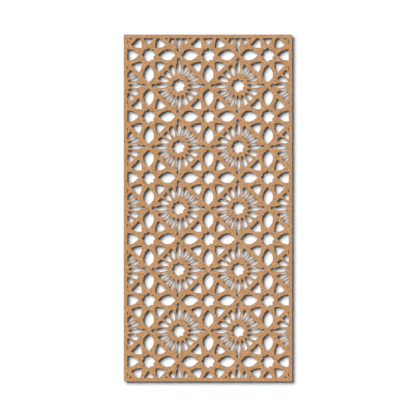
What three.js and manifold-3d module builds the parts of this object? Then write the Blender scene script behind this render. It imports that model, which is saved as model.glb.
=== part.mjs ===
// Mashrabiya screen: one flat sheet of MDF pierced right through with a square lattice
// of eight-pointed stars and sixteen-petalled rosettes, inside a plain border.
// Millimetres, +Z up. The front faces -Y and the back lies in the plane y = 0.
// The origin is the centre of the back face, where two diagonal ribs cross.
import * as THREE from "three";
import { mergeGeometries, mergeVertices } from "three/addons/utils/BufferGeometryUtils.js";
import Module from "manifold-3d";

// The sheet.
const SHEET_WIDTH = 1166;
const SHEET_HEIGHT = 2400;
const SHEET_THICKNESS = 12;
const BORDER_WIDTH = 24.5;

// The pattern is drawn on a square repeat and stretched a little in height.
const REPEAT_WIDTH = 412;
const REPEAT_HEIGHT = 424;

// Straight ribs cross the sheet on both diagonals, half-way between stars and rosettes.
const RIB_WIDTH = 25.2;

// Both stars are two equal squares, one turned by 45 degrees.
const STAR_HALF_SIDE = 34.1;
const STAR_POINTS = 8;

// Half outlines of the petals, each as [distance from the centre, half-width].
// The eight broad petals round a star widen up to the ribs that cut them off.
const BROAD_PETALS = 8;
const BROAD_PETAL = [[65.3, 0], [95, 27.5], [190, 48]];
// The sixteen narrow petals round a rosette are leaf-shaped.
const NARROW_PETALS = 16;
const NARROW_PETAL = [[66.8, 0], [97, 17], [160, 15.5]];
// Those that point along the sheet's sides end in a small bulb behind a neck.
const BULB_PETAL = [[66.8, 0], [112, 19.3], [160, 5], [181, 12]];
const BULB_PETAL_SPACING = 4;

const MDF_COLOUR = "#c3956a";
const MDF_ROUGHNESS = 0.75;

const wasm = await Module();
wasm.setup();

// Distance from a star's or rosette's centre to the near edge of a rib, along the sheet's sides.
const RIB_REACH = REPEAT_WIDTH / 2 - RIB_WIDTH / Math.SQRT2;
const WINDOW_HALF_WIDTH = SHEET_WIDTH / 2 - BORDER_WIDTH;
const WINDOW_HALF_HEIGHT = SHEET_HEIGHT / 2 - BORDER_WIDTH;
const STRETCH = REPEAT_HEIGHT / REPEAT_WIDTH;

// The part of a convex or star-shaped outline on the near side of a straight line:
// what is kept satisfies normal . point <= reach.
function cutByLine(outline, normal, reach) {
  const kept = [];
  outline.forEach((point, index) => {
    const next = outline[(index + 1) % outline.length];
    const here = point.dot(normal) - reach;
    const there = next.dot(normal) - reach;
    if (here <= 0) kept.push(point);
    if (here * there < 0) kept.push(point.clone().lerp(next, here / (here - there)));
  });
  return kept;
}

// A petal outline pointing at the given angle, from one half of it.
function petalOutline(half, angle) {
  const upper = half.map(([along, across]) => new THREE.Vector2(along, across));
  const lower = upper.filter((point) => point.y > 0).reverse();
  const mirrored = lower.map((point) => new THREE.Vector2(point.x, -point.y));
  const centre = new THREE.Vector2();
  return [...upper, ...mirrored].map((point) => point.rotateAround(centre, angle));
}

// A motif's four quadrants are bounded by the four ribs around its centre.
function cutByRibs(outline) {
  let kept = outline;
  for (const side of [-1, 1]) {
    for (const end of [-1, 1]) {
      kept = cutByLine(kept, new THREE.Vector2(side, end), RIB_REACH);
    }
  }
  return kept;
}

function starOutline() {
  const tip = STAR_HALF_SIDE * Math.SQRT2;
  const valley = STAR_HALF_SIDE / Math.cos(Math.PI / STAR_POINTS);
  const outline = [];
  for (let step = 0; step < 2 * STAR_POINTS; step += 1) {
    const radius = step % 2 === 0 ? tip : valley;
    const angle = (step * Math.PI) / STAR_POINTS;
    outline.push(new THREE.Vector2(radius * Math.cos(angle), radius * Math.sin(angle)));
  }
  return outline;
}

// The openings of a star: the star itself and its ring of broad petals.
function starMotif() {
  const openings = [starOutline()];
  for (let index = 0; index < BROAD_PETALS; index += 1) {
    const angle = (index * 2 * Math.PI) / BROAD_PETALS;
    openings.push(cutByRibs(petalOutline(BROAD_PETAL, angle)));
  }
  return openings;
}

// The openings of a rosette: a star and its ring of narrow petals.
function rosetteMotif() {
  const openings = [starOutline()];
  for (let index = 0; index < NARROW_PETALS; index += 1) {
    const angle = (index * 2 * Math.PI) / NARROW_PETALS;
    if (index % BULB_PETAL_SPACING === 0) {
      openings.push(petalOutline(BULB_PETAL, angle));
    } else {
      openings.push(cutByRibs(petalOutline(NARROW_PETAL, angle)));
    }
  }
  return openings;
}

// A motif at a place counted in repeats, cut off at the border's inner edge.
function placeMotif(motif, column, row) {
  const placed = [];
  for (const outline of motif) {
    let kept = outline.map((point) => new THREE.Vector2(
      point.x + column * REPEAT_WIDTH,
      (point.y + row * REPEAT_WIDTH) * STRETCH,
    ));
    for (const side of [-1, 1]) {
      kept = cutByLine(kept, new THREE.Vector2(side, 0), WINDOW_HALF_WIDTH);
      kept = cutByLine(kept, new THREE.Vector2(0, side), WINDOW_HALF_HEIGHT);
    }
    if (kept.length > 2) placed.push(kept);
  }
  return placed;
}

// Stars stand on whole columns and half rows, rosettes on half columns and whole rows.
function allOpenings() {
  const star = starMotif();
  const rosette = rosetteMotif();
  const columns = Math.ceil(SHEET_WIDTH / REPEAT_WIDTH / 2);
  const rows = Math.ceil(SHEET_HEIGHT / REPEAT_HEIGHT / 2);
  const openings = [];
  for (let column = -columns; column <= columns; column += 1) {
    for (let row = -rows; row <= rows; row += 1) {
      openings.push(...placeMotif(star, column, row + 0.5));
      openings.push(...placeMotif(rosette, column + 0.5, row));
    }
  }
  return openings;
}

// A prism on an outline, between two distances in front of the back face.
function prism(outline, near, far) {
  const shape = new THREE.Shape(outline);
  const geometry = new THREE.ExtrudeGeometry(shape, { depth: far - near, bevelEnabled: false });
  return geometry.translate(0, 0, near);
}

function toSolid(geometry) {
  geometry.deleteAttribute("normal");
  geometry.deleteAttribute("uv");
  const merged = mergeVertices(geometry);
  return new wasm.Manifold(new wasm.Mesh({
    numProp: 3,
    vertProperties: new Float32Array(merged.attributes.position.array),
    triVerts: new Uint32Array(merged.index.array),
  }));
}

function toGeometry(solid) {
  const mesh = solid.getMesh();
  const geometry = new THREE.BufferGeometry();
  geometry.setAttribute("position", new THREE.BufferAttribute(mesh.vertProperties, 3));
  geometry.setIndex(new THREE.BufferAttribute(mesh.triVerts, 1));
  return geometry;
}

// The sheet is drawn flat in X and Y and then stood up, with its thickness towards -Y.
function screenPanel() {
  const corner = new THREE.Vector2(SHEET_WIDTH / 2, SHEET_HEIGHT / 2);
  const rectangle = [
    new THREE.Vector2(-corner.x, -corner.y),
    new THREE.Vector2(corner.x, -corner.y),
    new THREE.Vector2(corner.x, corner.y),
    new THREE.Vector2(-corner.x, corner.y),
  ];
  const sheet = toSolid(prism(rectangle, 0, SHEET_THICKNESS));
  const near = -SHEET_THICKNESS;
  const far = 2 * SHEET_THICKNESS;
  const cutters = allOpenings().map((outline) => prism(outline, near, far));
  const pierced = sheet.subtract(toSolid(mergeGeometries(cutters)));
  const standing = new THREE.Matrix4().makeBasis(
    new THREE.Vector3(1, 0, 0),
    new THREE.Vector3(0, 0, 1),
    new THREE.Vector3(0, -1, 0),
  );
  return toGeometry(pierced).applyMatrix4(standing);
}

const mdf = new THREE.MeshStandardMaterial({
  color: new THREE.Color(MDF_COLOUR),
  roughness: MDF_ROUGHNESS,
  metalness: 0,
});

const panel = new THREE.Mesh(screenPanel(), mdf);
panel.name = "screen_panel";

const screen = new THREE.Group();
screen.add(panel);

export default screen;
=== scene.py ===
"""Mashrabiya screen: one sheet of raw MDF pierced with a lattice of eight-pointed stars and rosettes.

The sheet is cut here as a router cuts it: true arcs, corners rounded by the cutter, and edges eased
with fine paper. It takes the place of the plain faceted sheet of the frame and keeps its sizes.
Lengths are in metres, +Z is up and the front faces -Y, so an outline's two numbers are X and Z.
"""

import math

import bpy
import numpy as np
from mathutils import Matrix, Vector
from mathutils.geometry import delaunay_2d_cdt


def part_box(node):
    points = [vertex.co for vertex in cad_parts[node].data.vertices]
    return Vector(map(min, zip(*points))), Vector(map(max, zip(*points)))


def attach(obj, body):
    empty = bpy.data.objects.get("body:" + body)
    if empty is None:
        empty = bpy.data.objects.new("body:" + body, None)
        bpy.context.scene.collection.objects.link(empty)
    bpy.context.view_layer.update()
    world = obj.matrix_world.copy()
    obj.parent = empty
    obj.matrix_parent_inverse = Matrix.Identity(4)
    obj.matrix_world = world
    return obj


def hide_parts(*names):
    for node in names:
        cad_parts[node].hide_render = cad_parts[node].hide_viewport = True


bl_info = {
    "name": "Mashrabiya Screen",
    "version": (1, 0, 0),
    "blender": (4, 5, 0),
    "location": "View3D > Sidebar > Mashrabiya",
    "description": "Builds a pierced MDF screen with a star and rosette lattice",
    "category": "Add Mesh",
}

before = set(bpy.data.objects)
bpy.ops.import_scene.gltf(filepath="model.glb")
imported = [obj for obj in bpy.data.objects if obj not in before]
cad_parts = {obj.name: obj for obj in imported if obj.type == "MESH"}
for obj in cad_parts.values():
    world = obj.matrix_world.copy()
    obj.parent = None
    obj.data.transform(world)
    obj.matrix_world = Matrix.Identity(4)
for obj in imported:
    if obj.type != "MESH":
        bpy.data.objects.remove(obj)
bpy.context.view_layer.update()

SHEET_NODE = "screen_panel"
SHEET_BODY = "root"
SHEET_LOW, SHEET_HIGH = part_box(SHEET_NODE)
SHEET_SIZE = SHEET_HIGH - SHEET_LOW

# The photograph is square, and the sheet in it is this many pixels high.
PHOTO_PIXELS = 416
SHEET_PIXELS_HIGH = 347

# A star stands in every ring of petals. Of the narrow petals every fourth has a bulb.
STAR_POINTS = 8
BROAD_PETALS = 8
NARROW_PETALS = 16
BULB_SPACING = 4

MILLIMETRE = 0.001


def linear(hex_colour):
    """An sRGB hex value as the linear colour that a shader takes."""
    values = np.array([int(hex_colour[place:place + 2], 16) for place in (1, 3, 5)]) / 255
    curve = np.where(values <= 0.04045, values / 12.92, ((values + 0.055) / 1.055) ** 2.4)
    return (*curve.tolist(), 1)


def colour(name, description, hex_colour):
    """A property that holds one colour."""
    return bpy.props.FloatVectorProperty(
        name=name, description=description, default=linear(hex_colour), size=4, min=0, max=1,
        subtype="COLOR",
    )


class ScreenSizes(bpy.types.PropertyGroup):
    """Sizes of the sheet and of the pattern cut through it."""

    border: bpy.props.FloatProperty(
        name="Border", description="Width of the plain border", default=0.0245, unit="LENGTH",
    )
    repeat_width: bpy.props.FloatProperty(
        name="Repeat width", description="Distance from star to star across", default=0.412,
        unit="LENGTH",
    )
    repeat_height: bpy.props.FloatProperty(
        name="Repeat height", description="Distance from star to star upwards", default=0.424,
        unit="LENGTH",
    )
    rib: bpy.props.FloatProperty(
        name="Rib", description="Width of the straight diagonal ribs", default=0.0252, unit="LENGTH",
    )
    star_half_side: bpy.props.FloatProperty(
        name="Star half side", description="Half the side of the two squares that make a star",
        default=0.0341, unit="LENGTH",
    )
    broad_tip: bpy.props.FloatProperty(
        name="Broad petal tip", description="From a star's centre to its petals' inner tips",
        default=0.0653, unit="LENGTH",
    )
    broad_angle: bpy.props.FloatProperty(
        name="Broad petal angle", description="Slope of a petal's straight sides at its inner tip",
        default=math.radians(41.6), subtype="ANGLE",
    )
    broad_belly: bpy.props.FloatProperty(
        name="Broad petal belly", description="From a star's centre to its petals' widest place",
        default=0.1318, unit="LENGTH",
    )
    broad_half_width: bpy.props.FloatProperty(
        name="Broad petal half-width", description="Half a star petal's greatest width",
        default=0.0369, unit="LENGTH",
    )
    narrow_tip: bpy.props.FloatProperty(
        name="Narrow petal inner tip", description="From a rosette's centre to its petals' inner tips",
        default=0.0667, unit="LENGTH",
    )
    narrow_end: bpy.props.FloatProperty(
        name="Narrow petal outer tip", description="From a rosette's centre to its petals' outer tips",
        default=0.1697, unit="LENGTH",
    )
    narrow_half_width: bpy.props.FloatProperty(
        name="Narrow petal half-width", description="Half a rosette petal's greatest width",
        default=0.0173, unit="LENGTH",
    )
    bulb_leaf_end: bpy.props.FloatProperty(
        name="Bulbed leaf's tip", description="From a rosette's centre to where a bulbed leaf would end",
        default=0.1668, unit="LENGTH",
    )
    neck_half_width: bpy.props.FloatProperty(
        name="Neck half-width", description="Half the width of the neck between a leaf and its bulb",
        default=0.003, unit="LENGTH",
    )
    bulb_centre: bpy.props.FloatProperty(
        name="Bulb centre", description="From a rosette's centre to the bulb of a bulbed petal",
        default=0.1728, unit="LENGTH",
    )
    bulb_half_length: bpy.props.FloatProperty(
        name="Bulb half-length", description="Half a bulb's length, away from the rosette",
        default=0.0128, unit="LENGTH",
    )
    bulb_half_width: bpy.props.FloatProperty(
        name="Bulb half-width", description="Half a bulb's width", default=0.0118, unit="LENGTH",
    )
    cutter_radius: bpy.props.FloatProperty(
        name="Cutter radius", description="Radius that the cutter leaves in inside corners",
        default=0.0015, unit="LENGTH",
    )
    eased_edge: bpy.props.FloatProperty(
        name="Eased edge", description="Width of the edge taken off with fine paper",
        default=0.0005, unit="LENGTH",
    )


class ScreenFinish(bpy.types.PropertyGroup):
    """Colours of the board and of the stage."""

    face_dark: colour("Face, dark fibre", "Darker fibres on the sanded face", "#926533")
    face_light: colour("Face, light fibre", "Lighter fibres on the sanded face", "#E8B387")
    face_reddish: colour("Face, reddish tint", "Multiplies bundles of heartwood fibre", "#FFF0E7")
    face_yellowish: colour("Face, yellowish tint", "Multiplies bundles of sapwood fibre", "#F6FFF6")
    edge_dark: colour("Edge, skin", "Dense outer layers where the board is cut", "#8A633F")
    edge_light: colour("Edge, core", "Looser core where the board is cut", "#A67C54")
    wall: colour("Wall", "Matt white paint of the backdrop", "#F4F4F4")
    floor: colour("Floor", "Pale matt floor", "#F0ECE6")


class ScreenStage(bpy.types.PropertyGroup):
    """Where the screen hangs and how it is lit."""

    wall_gap: bpy.props.FloatProperty(
        name="Gap to the wall", description="Between the sheet's back and the wall", default=0.0265,
        unit="LENGTH",
    )
    floor_drop: bpy.props.FloatProperty(
        name="Height above the floor", description="Between the sheet's lower edge and the floor",
        default=0.45, unit="LENGTH",
    )
    reach: bpy.props.FloatProperty(
        name="Reach", description="How far the wall and the floor go on", default=40.0, unit="LENGTH",
    )
    camera_distance: bpy.props.FloatProperty(
        name="Camera distance", description="From the camera to the sheet's front", default=30.0,
        unit="LENGTH",
    )
    key_slope: bpy.props.FloatProperty(
        name="Key light slope", description="How far the key light goes aside and down per step inwards",
        default=0.5,
    )
    key_softness: bpy.props.FloatProperty(
        name="Key light softness", description="Angle that the key light spans",
        default=math.radians(37), subtype="ANGLE",
    )
    key_strength: bpy.props.FloatProperty(
        name="Key light", description="Strength of the key light", default=4.0,
    )
    back_direction: bpy.props.FloatVectorProperty(
        name="Back light direction", description="Where the light on the sheet's back goes",
        default=(-0.5, -1, -0.6), subtype="DIRECTION",
    )
    back_softness: bpy.props.FloatProperty(
        name="Back light softness", description="Angle that the back light spans",
        default=math.radians(60), subtype="ANGLE",
    )
    back_strength: bpy.props.FloatProperty(
        name="Back light", description="Strength of the light on the sheet's back", default=3.6,
    )
    fill_strength: bpy.props.FloatProperty(
        name="Fill light", description="Strength of the even light from all round", default=0.12,
    )
    fill_colour: colour("Fill light colour", "Cool, as from an open sky", "#C6E7FF")


# Outlines: closed rows of points, arrays of shape (n, 2), with the opening on their left.


def mirrored(half):
    """A closed outline from one upper half: out along the half mirrored in the axis, back along it."""
    lower = half * (1, -1)
    return np.concatenate([lower, half[-2:0:-1]])


def turned(outline, angle):
    """The outline turned about the centre of its motif."""
    cosine, sine = math.cos(angle), math.sin(angle)
    return outline @ np.array([[cosine, sine], [-sine, cosine]])


def star_outline(sizes):
    """Two crossed squares: points in turn on the squares' corners and on their crossings."""
    steps = np.arange(2 * STAR_POINTS)
    angle = steps * math.pi / STAR_POINTS
    corner = sizes.star_half_side * math.sqrt(2)
    crossing = sizes.star_half_side / math.cos(math.pi / STAR_POINTS)
    radius = np.where(steps % 2 == 0, corner, crossing)
    return np.stack([radius * np.cos(angle), radius * np.sin(angle)], axis=1)


def broad_petal(sizes, steps=12):
    """A leaf along the first axis: each side leaves the inner tip straight, then follows the circle
    that touches that line and is level at the belly, down to the axis again."""
    slope = math.tan(sizes.broad_angle)
    length = math.hypot(1, slope)
    run = sizes.broad_belly - sizes.broad_tip
    radius = (slope * run - sizes.broad_half_width) / (length - 1)
    centre = np.array([sizes.broad_belly, sizes.broad_half_width - radius])
    start = sizes.broad_angle
    end = -math.acos(-centre[1] / radius)
    lean = np.linspace(start, end, steps + 1)
    arc = centre + radius * np.stack([-np.sin(lean), np.cos(lean)], axis=1)
    arc[-1, 1] = 0
    tip = np.array([[sizes.broad_tip, 0]])
    return mirrored(np.concatenate([tip, arc]))


def narrow_half_width(along, sizes, end):
    """Half-width of a leaf between two equal circle arcs that meet at its tips."""
    half_length = (end - sizes.narrow_tip) / 2
    middle = (end + sizes.narrow_tip) / 2
    width = sizes.narrow_half_width
    radius = (half_length**2 + width**2) / (2 * width)
    return np.sqrt(np.maximum(radius**2 - (along - middle) ** 2, 0)) - (radius - width)


def bulb_half_width(along, sizes):
    """Half-width of an ellipse, and zero beyond its ends."""
    part = (along - sizes.bulb_centre) / sizes.bulb_half_length
    return sizes.bulb_half_width * np.sqrt(np.maximum(1 - part**2, 0))


def narrow_petal(sizes, steps=12):
    """A leaf along the first axis, with its points a little closer together towards the tips."""
    part = (1 - np.cos(np.linspace(0, math.pi, steps + 1))) / 2
    along = sizes.narrow_tip + (sizes.narrow_end - sizes.narrow_tip) * part
    across = np.maximum(narrow_half_width(along, sizes, sizes.narrow_end), 0)
    return mirrored(np.stack([along, across], axis=1))


def bulbed_petal(sizes, leaf_steps=12, bulb_steps=12, crowding=0.8):
    """The narrow leaf joined to its bulb: at each place the wider of the two, and in the neck between
    them never less than the neck's width. The leaf's points crowd towards its inner tip."""
    bulb_start = sizes.bulb_centre - sizes.bulb_half_length
    bulb_end = sizes.bulb_centre + sizes.bulb_half_length
    leaf_part = (1 - np.cos(np.linspace(0, math.pi / 2, leaf_steps))) ** crowding
    leaf = sizes.narrow_tip + (bulb_start - sizes.narrow_tip) * leaf_part
    bulb_part = (1 - np.cos(np.linspace(0, math.pi, bulb_steps + 1)[1:])) / 2
    bulb = bulb_start + (bulb_end - bulb_start) * bulb_part
    along = np.concatenate([leaf, bulb])
    leaf_width = narrow_half_width(along, sizes, sizes.bulb_leaf_end)
    neck_width = np.where(along < sizes.bulb_centre, sizes.neck_half_width, 0)
    across = np.maximum.reduce([leaf_width, neck_width, bulb_half_width(along, sizes)])
    across[0] = 0
    return mirrored(np.stack([along, across], axis=1))


def cut_by_line(outline, normal, reach):
    """The part of an outline where normal . point is at most reach, with a point on each crossing."""
    here = outline @ np.asarray(normal, float) - reach
    there = np.roll(here, -1)
    crossing = here * there < 0
    share = here / np.where(crossing, here - there, 1)
    on_line = outline + share[:, None] * (np.roll(outline, -1, axis=0) - outline)
    pairs = np.stack([outline, on_line], axis=1)
    return pairs[np.stack([here <= 0, crossing], axis=1)]


def cut_by_ribs(outline, sizes):
    """Stops an outline at the four diagonal ribs round its motif."""
    reach = sizes.repeat_width / 2 - sizes.rib / math.sqrt(2)
    for normal in ((1, 1), (1, -1), (-1, 1), (-1, -1)):
        outline = cut_by_line(outline, normal, reach)
    return outline


def star_motif(sizes):
    """A star and the broad petals round it."""
    angles = np.arange(BROAD_PETALS) * math.tau / BROAD_PETALS
    petals = [cut_by_ribs(turned(broad_petal(sizes), angle), sizes) for angle in angles]
    return [star_outline(sizes), *petals]


def rosette_motif(sizes):
    """A star and the narrow petals round it, of which those along the sheet's sides have a bulb."""
    openings = [star_outline(sizes)]
    for index in range(NARROW_PETALS):
        angle = index * math.tau / NARROW_PETALS
        if index % BULB_SPACING == 0:
            openings.append(turned(bulbed_petal(sizes), angle))
        else:
            openings.append(cut_by_ribs(turned(narrow_petal(sizes), angle), sizes))
    return openings


def side_vectors(outline):
    """Unit vectors of the side before and the side after each point, and the two sides' lengths."""
    after = np.roll(outline, -1, axis=0) - outline
    after_length = np.linalg.norm(after, axis=1)
    after = after / after_length[:, None]
    return np.roll(after, 1, axis=0), after, np.roll(after_length, 1), after_length


def without_short_sides(outline, least):
    """Drops each point that lies closer than least to the next one."""
    length = np.linalg.norm(np.roll(outline, -1, axis=0) - outline, axis=1)
    return outline[length > least]


def rounded_by_cutter(outline, radius, steps=4, least_turn=math.radians(24), most_of_side=0.45):
    """Each corner that turns left by more than least_turn becomes an arc of the cutter's radius, or
    of as much of it as fits on the most_of_side share of both the corner's sides."""
    before, after, before_length, after_length = side_vectors(outline)
    turn = np.arctan2(
        before[:, 0] * after[:, 1] - before[:, 1] * after[:, 0],
        (before * after).sum(axis=1),
    )
    corner = turn > least_turn
    half_tangent = np.where(corner, np.tan(turn / 2), 1)
    room = most_of_side * np.minimum(before_length, after_length)
    set_back = np.minimum(radius * half_tangent, room)
    fitted = set_back / half_tangent
    left = np.stack([-before[:, 1], before[:, 0]], axis=1)
    centre = outline - before * set_back[:, None] + left * fitted[:, None]
    start = np.arctan2(-left[:, 1], -left[:, 0])
    angle = start[:, None] + turn[:, None] * np.linspace(0, 1, steps + 1)
    arc = np.stack([np.cos(angle), np.sin(angle)], axis=2) * fitted[:, None, None]
    rows = np.where(corner[:, None, None], centre[:, None] + arc, outline[:, None])
    kept = np.tile(corner[:, None], (1, steps + 1))
    kept[:, 0] = True
    return rows[kept]


def placed_motifs(sizes):
    """The openings of every motif, placed from the sheet's centre. Stars stand on whole columns and
    half rows, rosettes on half columns and whole rows, and the whole is stretched upwards."""
    stretch = np.array([1, sizes.repeat_height / sizes.repeat_width])
    columns = math.ceil(SHEET_SIZE.x / sizes.repeat_width / 2)
    rows = math.ceil(SHEET_SIZE.z / sizes.repeat_height / 2)
    star, rosette = star_motif(sizes), rosette_motif(sizes)
    placed = []
    for column in range(-columns, columns + 1):
        for row in range(-rows, rows + 1):
            for motif, across, up in ((star, column, row + 0.5), (rosette, column + 0.5, row)):
                middle = np.array([across, up]) * sizes.repeat_width
                placed += [(outline + middle) * stretch for outline in motif]
    return placed


def all_openings(sizes):
    """Every opening as it is cut: stopped at the border, and with its inside corners rounded."""
    centre = np.array([SHEET_LOW.x + SHEET_SIZE.x / 2, SHEET_LOW.z + SHEET_SIZE.z / 2])
    half_width = SHEET_SIZE.x / 2 - sizes.border
    half_height = SHEET_SIZE.z / 2 - sizes.border
    openings = []
    for outline in placed_motifs(sizes):
        for side in (-1, 1):
            outline = cut_by_line(outline, (side, 0), half_width)
            outline = cut_by_line(outline, (0, side), half_height)
        if len(outline) > 2:
            outline = without_short_sides(outline, 2 * sizes.eased_edge)
            openings.append(rounded_by_cutter(outline, sizes.cutter_radius) + centre)
    return openings


def sheet_rim():
    """The sheet's own outline, clockwise, so that the board is on its right as at an opening."""
    return np.array([
        (SHEET_LOW.x, SHEET_LOW.z),
        (SHEET_LOW.x, SHEET_HIGH.z),
        (SHEET_HIGH.x, SHEET_HIGH.z),
        (SHEET_HIGH.x, SHEET_LOW.z),
    ])


def moved_into_board(outline, distance):
    """Each point goes to the right by distance from both of its sides, along their bisector."""
    before, after, _, _ = side_vectors(outline)
    right_before = np.stack([before[:, 1], -before[:, 0]], axis=1)
    right_after = np.stack([after[:, 1], -after[:, 0]], axis=1)
    meeting = 1 + (right_before * right_after).sum(axis=1)
    return outline + (right_before + right_after) * (distance / meeting)[:, None]


def following_points(lengths):
    """The number of the point after each, for closed outlines of these lengths one after another."""
    ends = np.cumsum(lengths)
    following = np.arange(ends[-1]) + 1
    following[ends - 1] = ends - lengths
    return following


def board_triangles(points, following, owner):
    """Triangles between the rim and the openings, for points joined each to its following one.
    A triangle fills an opening where one opening owns its three points and they run anticlockwise
    in the order of the outline, and is left out."""
    sides = np.stack([np.arange(len(points)), following], axis=1)
    corners = [Vector(point) for point in points.tolist()]
    inside_constraints, tolerance = 1, 1e-7
    _, _, triangles, sources, _, _ = delaunay_2d_cdt(
        corners, sides.tolist(), [], inside_constraints, tolerance,
    )
    triangles = np.array([ids[0] for ids in sources])[np.array(triangles)]
    owners = owner[triangles]
    first, second, third = np.moveaxis(points[np.sort(triangles, axis=1)], 1, 0)
    out, across = second - first, third - first
    anticlockwise = out[:, 0] * across[:, 1] > out[:, 1] * across[:, 0]
    fills_opening = (owners == owners[:, :1]).all(axis=1) & anticlockwise
    return triangles[~fills_opening]


def sheet_mesh(sizes, sharp_angle=math.radians(30)):
    """A closed sheet. The profile of a cut edge, from the front face over the eased edge, through
    the board and out over the other eased edge, is carried along every outline at once, and the
    two faces are filled between the profile's ends."""
    outlines = [sheet_rim(), *all_openings(sizes)]
    lengths = np.array([len(outline) for outline in outlines])
    following = following_points(lengths)
    owner = np.repeat(np.arange(len(outlines)), lengths)
    eased = np.concatenate([moved_into_board(outline, sizes.eased_edge) for outline in outlines])
    cut = np.concatenate(outlines)
    count = len(cut)
    front, back = SHEET_LOW.y, SHEET_HIGH.y
    profile = [
        (eased, front),
        (cut, front + sizes.eased_edge),
        (cut, back - sizes.eased_edge),
        (eased, back),
    ]
    rings = [
        np.stack([ring[:, 0], np.full(count, depth), ring[:, 1]], axis=1)
        for ring, depth in profile
    ]
    here = np.arange(count)
    band = np.stack([here, following, following + count, here + count], axis=1)
    bands = [band + ring * count for ring in range(len(profile) - 1)]
    front_fill = board_triangles(eased, following, owner)
    back_fill = front_fill[:, ::-1] + (len(profile) - 1) * count
    faces = [face for rows in (front_fill, back_fill, *bands) for face in rows.tolist()]
    mesh = bpy.data.meshes.new("screen_sheet")
    mesh.from_pydata(np.concatenate(rings).tolist(), [], faces)
    is_cut = np.zeros(len(faces), dtype=np.int32)
    is_cut[2 * len(front_fill):] = 1
    mesh.polygons.foreach_set("material_index", is_cut)
    mesh.polygons.foreach_set("use_smooth", np.ones(len(faces), dtype=bool))
    mesh.set_sharp_from_angle(angle=sharp_angle)
    mesh.update()
    return mesh


# Materials.


def add_node(tree, kind, settings=None, values=None, links=None, stops=()):
    """Adds a node with its options, its inputs' values, its inputs' links from other nodes' outputs
    and, on a colour ramp, its (place, linear colour) stops. An input goes by its name, or by its
    number where two of them have the same name."""
    node = tree.nodes.new(kind)
    for name, value in (settings or {}).items():
        setattr(node, name, value)
    for name, value in (values or {}).items():
        node.inputs[name].default_value = value
    for name, source in (links or {}).items():
        tree.links.new(source, node.inputs[name])
    for index, (place, shade) in enumerate(stops):
        elements = node.color_ramp.elements
        element = elements[index] if index < len(elements) else elements.new(place)
        element.position = place
        element.color = shade
    return node


def new_material(name):
    """A material with an empty node tree."""
    material = bpy.data.materials.new(name)
    material.use_nodes = True
    material.node_tree.nodes.clear()
    return material


def per_metre(millimetres):
    """The scale of a noise whose grains are about that many millimetres wide."""
    return 1 / (millimetres * MILLIMETRE)


def grey(value):
    """A neutral linear colour."""
    return (value, value, value, 1)


def sanded_mdf(finish):
    """Medium-density fibreboard as it leaves the sanding line: matt, even tan, with short pale and
    dark fibres pressed flat, redder and yellower bundles, a few dark bark specks and a faint
    cloudiness over a hand's breadth."""
    material = new_material("MDF, sanded face")
    tree = material.node_tree
    place = add_node(tree, "ShaderNodeTexCoord").outputs["Object"]
    layers = {
        # Felted fibres gather in flocks, and each flock is made of ever finer ones.
        "flocks": (9, {"Detail": 9, "Roughness": 0.72}, finish.face_dark, finish.face_light, 0.3, 0.7),
        # Bundles from the heart of the tree are redder than those from under its bark.
        "bundles": (
            14, {"Detail": 7, "Roughness": 0.7}, finish.face_reddish, finish.face_yellowish, 0.35, 0.65,
        ),
        # Single fibres are 1 to 3 mm long and lie every way, so the noise between them is bent.
        "fibres": (
            2.5, {"Detail": 4, "Roughness": 0.65, "Distortion": 3}, grey(0.86), grey(1), 0.35, 0.6,
        ),
        # The mat is a little denser here and there.
        "mat": (60, {"Detail": 2}, grey(0.92), grey(1), 0.3, 0.7),
        # Specks of bark.
        "bark": (2.2, {"Detail": 1}, grey(1), grey(0.72), 0.68, 0.76),
    }
    heights = {}
    board = None
    for name, (grain, values, low_shade, high_shade, low, high) in layers.items():
        noise = add_node(
            tree, "ShaderNodeTexNoise",
            values={"Scale": per_metre(grain), **values},
            links={"Vector": place},
        )
        heights[name] = noise.outputs["Fac"]
        tone = add_node(
            tree, "ShaderNodeValToRGB",
            links={"Fac": heights[name]},
            stops=[(low, low_shade), (high, high_shade)],
        )
        board = tone.outputs["Color"] if board is None else add_node(
            tree, "ShaderNodeMix",
            settings={"data_type": "RGBA", "blend_type": "MULTIPLY"},
            values={"Factor": 1},
            links={"A": board, "B": tone.outputs["Color"]},
        ).outputs["Result"]
    matt = add_node(
        tree, "ShaderNodeMapRange",
        values={"From Min": 0.3, "From Max": 0.7, "To Min": 0.62, "To Max": 0.8},
        links={"Value": heights["fibres"]},
    )
    relief = add_node(
        tree, "ShaderNodeBump",
        values={"Strength": 0.3, "Distance": 0.15 * MILLIMETRE},
        links={"Height": heights["fibres"]},
    )
    shader = add_node(
        tree, "ShaderNodeBsdfPrincipled",
        values={"IOR": 1.45, "Specular IOR Level": 0.35},
        links={
            "Base Color": board,
            "Roughness": matt.outputs["Result"],
            "Normal": relief.outputs["Normal"],
        },
    )
    add_node(tree, "ShaderNodeOutputMaterial", links={"Surface": shader.outputs["BSDF"]})
    return material


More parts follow.
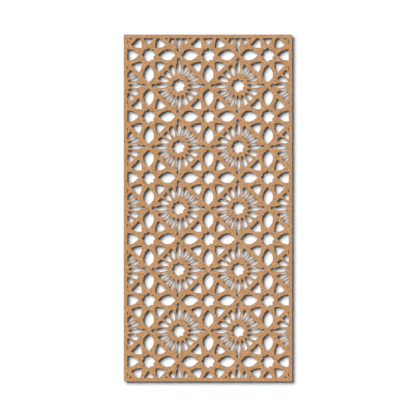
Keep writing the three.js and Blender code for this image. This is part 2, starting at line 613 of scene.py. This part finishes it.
def routed_mdf(finish):
    """The same board where the cutter went through it: darker and fuzzier than the face, with the
    dense skins darkest, the loose core lighter, and fine lines left along the cut."""
    material = new_material("MDF, routed edge")
    tree = material.node_tree
    place = add_node(tree, "ShaderNodeTexCoord").outputs["Object"]
    depth = add_node(tree, "ShaderNodeSeparateXYZ", links={"Vector": place}).outputs["Y"]
    through = add_node(
        tree, "ShaderNodeMapRange",
        values={"From Min": SHEET_LOW.y, "From Max": SHEET_HIGH.y},
        links={"Value": depth},
    )
    # Each skin fades into the core over about 2 mm of the 12 mm board.
    skin = 0.18
    layers = add_node(
        tree, "ShaderNodeValToRGB",
        links={"Fac": through.outputs["Result"]},
        stops=[
            (0, finish.edge_dark),
            (skin, finish.edge_light),
            (1 - skin, finish.edge_light),
            (1, finish.edge_dark),
        ],
    )
    # Cutter lines run along the cut, so they are 1 mm apart through the board and long across it.
    along_cut = add_node(
        tree, "ShaderNodeMapping",
        values={"Scale": (per_metre(18), per_metre(1), per_metre(18))},
        links={"Vector": place},
    )
    lines = add_node(
        tree, "ShaderNodeTexNoise",
        values={"Scale": 1, "Detail": 4, "Roughness": 0.6},
        links={"Vector": along_cut.outputs["Vector"]},
    )
    shade = add_node(
        tree, "ShaderNodeValToRGB",
        links={"Fac": lines.outputs["Fac"]},
        stops=[(0.3, grey(0.84)), (0.7, grey(1))],
    )
    cut = add_node(
        tree, "ShaderNodeMix",
        settings={"data_type": "RGBA", "blend_type": "MULTIPLY"},
        values={"Factor": 1},
        links={"A": layers.outputs["Color"], "B": shade.outputs["Color"]},
    )
    fuzz = add_node(
        tree, "ShaderNodeBump",
        values={"Strength": 0.5, "Distance": 0.3 * MILLIMETRE},
        links={"Height": lines.outputs["Fac"]},
    )
    shader = add_node(
        tree, "ShaderNodeBsdfPrincipled",
        values={"IOR": 1.45, "Roughness": 0.9, "Specular IOR Level": 0.2},
        links={"Base Color": cut.outputs["Result"], "Normal": fuzz.outputs["Normal"]},
    )
    add_node(tree, "ShaderNodeOutputMaterial", links={"Surface": shader.outputs["BSDF"]})
    return material


def floor_paint(finish):
    """Matt floor paint."""
    material = new_material("Paint, pale floor")
    tree = material.node_tree
    shader = add_node(
        tree, "ShaderNodeBsdfPrincipled",
        values={"Base Color": finish.floor, "Roughness": 0.8, "Specular IOR Level": 0.2},
    )
    add_node(tree, "ShaderNodeOutputMaterial", links={"Surface": shader.outputs["BSDF"]})
    return material


def wall_paint(finish):
    """Matt white paint on the side that faces the screen. The wall has no thickness and no back: from
    behind it the screen's back is seen through it, and the first light on what is seen passes it."""
    material = new_material("Paint, white wall")
    tree = material.node_tree
    shader = add_node(
        tree, "ShaderNodeBsdfPrincipled",
        values={"Base Color": finish.wall, "Roughness": 0.9, "Specular IOR Level": 0.1},
    )
    nothing = add_node(tree, "ShaderNodeBsdfTransparent")
    behind = add_node(tree, "ShaderNodeNewGeometry").outputs["Backfacing"]
    path = add_node(tree, "ShaderNodeLightPath")
    first_light = add_node(
        tree, "ShaderNodeMath",
        settings={"operation": "SUBTRACT"},
        links={0: path.outputs["Is Shadow Ray"], 1: path.outputs["Diffuse Depth"]},
    )
    passed = add_node(
        tree, "ShaderNodeMath",
        settings={"operation": "MAXIMUM"},
        links={0: behind, 1: first_light.outputs["Value"]},
    )
    choice = add_node(
        tree, "ShaderNodeMixShader",
        links={"Fac": passed.outputs["Value"], 1: shader.outputs["BSDF"], 2: nothing.outputs["BSDF"]},
    )
    add_node(tree, "ShaderNodeOutputMaterial", links={"Surface": choice.outputs["Shader"]})
    return material


# Objects.


def add_object(name, data):
    """Puts a mesh, camera or light into the scene."""
    piece = bpy.data.objects.new(name, data)
    bpy.context.scene.collection.objects.link(piece)
    return piece


def flat_square(name, corners, material):
    """One flat face on four corners, facing the side from which they run anticlockwise. It throws no
    light back, and the even fill reaches the screen through it."""
    mesh = bpy.data.meshes.new(name)
    mesh.from_pydata(corners, [], [(0, 1, 2, 3)])
    mesh.materials.append(material)
    square = add_object(name, mesh)
    square.visible_diffuse = False


def add_sun(name, direction, strength, angle):
    """A white light so far away that it falls on the whole sheet from one direction."""
    sun = bpy.data.lights.new(name, "SUN")
    sun.energy = strength
    sun.angle = angle
    lamp = add_object(name, sun)
    lamp.rotation_mode = "QUATERNION"
    lamp.rotation_quaternion = Vector(direction).to_track_quat("-Z", "Y")


def add_surroundings(strength, fill_colour):
    """White to look at, and an even weak cool fill as light."""
    world = bpy.data.worlds.new("studio")
    world.use_nodes = True
    tree = world.node_tree
    tree.nodes.clear()
    seen = add_node(tree, "ShaderNodeLightPath").outputs["Is Camera Ray"]
    fill = add_node(
        tree, "ShaderNodeBackground", values={"Color": fill_colour, "Strength": strength},
    )
    white = add_node(tree, "ShaderNodeBackground", values={"Color": grey(1)})
    choice = add_node(
        tree, "ShaderNodeMixShader",
        links={"Fac": seen, 1: fill.outputs["Background"], 2: white.outputs["Background"]},
    )
    add_node(tree, "ShaderNodeOutputWorld", links={"Surface": choice.outputs["Shader"]})
    bpy.context.scene.world = world


def add_camera(distance):
    """Square on to the sheet's centre, so far away that the openings' sides don't show."""
    centre = (SHEET_LOW + SHEET_HIGH) / 2
    seen_height = SHEET_SIZE.z * PHOTO_PIXELS / SHEET_PIXELS_HIGH
    camera = bpy.data.cameras.new("camera")
    camera.sensor_width = 36
    camera.lens = camera.sensor_width * distance / seen_height
    camera.clip_end = 4 * distance
    viewer = add_object("camera", camera)
    viewer.location = (centre.x, SHEET_LOW.y - distance, centre.z)
    viewer.rotation_euler = (math.pi / 2, 0, 0)
    bpy.context.scene.camera = viewer


class AddSheet(bpy.types.Operator):
    """Cut the pierced sheet of the screen"""

    bl_idname = "mashrabiya.add_sheet"
    bl_label = "Add Pierced Sheet"

    def execute(self, context):
        sizes = context.scene.mashrabiya_sizes
        finish = context.scene.mashrabiya_finish
        mesh = sheet_mesh(sizes)
        mesh.materials.append(sanded_mdf(finish))
        mesh.materials.append(routed_mdf(finish))
        sheet = add_object("pierced_sheet", mesh)
        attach(sheet, SHEET_BODY)
        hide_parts(SHEET_NODE)
        return {"FINISHED"}


class AddStage(bpy.types.Operator):
    """Set up the wall, the floor, the lights and the camera"""

    bl_idname = "mashrabiya.add_stage"
    bl_label = "Add Stage"

    def execute(self, context):
        stage = context.scene.mashrabiya_stage
        finish = context.scene.mashrabiya_finish
        context.scene.view_settings.view_transform = "Standard"
        reach = stage.reach
        ground = SHEET_LOW.z - stage.floor_drop
        wall_y = SHEET_HIGH.y + stage.wall_gap
        flat_square("floor", [
            (-reach, -reach, ground),
            (reach, -reach, ground),
            (reach, reach, ground),
            (-reach, reach, ground),
        ], floor_paint(finish))
        flat_square("wall", [
            (-reach, wall_y, ground),
            (reach, wall_y, ground),
            (reach, wall_y, reach),
            (-reach, wall_y, reach),
        ], wall_paint(finish))
        slope = stage.key_slope
        add_sun("key_light", (slope, 1, -slope), stage.key_strength, stage.key_softness)
        add_sun("back_light", stage.back_direction, stage.back_strength, stage.back_softness)
        add_surroundings(stage.fill_strength, stage.fill_colour)
        add_camera(stage.camera_distance)
        return {"FINISHED"}


class MashrabiyaPanel(bpy.types.Panel):
    """Lists the screen's sizes, finishes and steps"""

    bl_idname = "VIEW3D_PT_mashrabiya"
    bl_label = "Mashrabiya Screen"
    bl_space_type = "VIEW_3D"
    bl_region_type = "UI"
    bl_category = "Mashrabiya"

    def draw(self, context):
        for group in ("mashrabiya_sizes", "mashrabiya_finish", "mashrabiya_stage"):
            box = self.layout.box()
            values = getattr(context.scene, group)
            for name in values.__annotations__:
                box.prop(values, name)
        self.layout.operator(AddStage.bl_idname)
        self.layout.operator(AddSheet.bl_idname)


CLASSES = (ScreenSizes, ScreenFinish, ScreenStage, AddSheet, AddStage, MashrabiyaPanel)


def register():
    for item in CLASSES:
        bpy.utils.register_class(item)
    bpy.types.Scene.mashrabiya_sizes = bpy.props.PointerProperty(type=ScreenSizes)
    bpy.types.Scene.mashrabiya_finish = bpy.props.PointerProperty(type=ScreenFinish)
    bpy.types.Scene.mashrabiya_stage = bpy.props.PointerProperty(type=ScreenStage)


def unregister():
    del bpy.types.Scene.mashrabiya_stage
    del bpy.types.Scene.mashrabiya_finish
    del bpy.types.Scene.mashrabiya_sizes
    for item in reversed(CLASSES):
        bpy.utils.unregister_class(item)


def main():
    """Builds the stage and the screen."""
    register()
    bpy.ops.mashrabiya.add_stage()
    bpy.ops.mashrabiya.add_sheet()


if __name__ == "__main__":
    main()
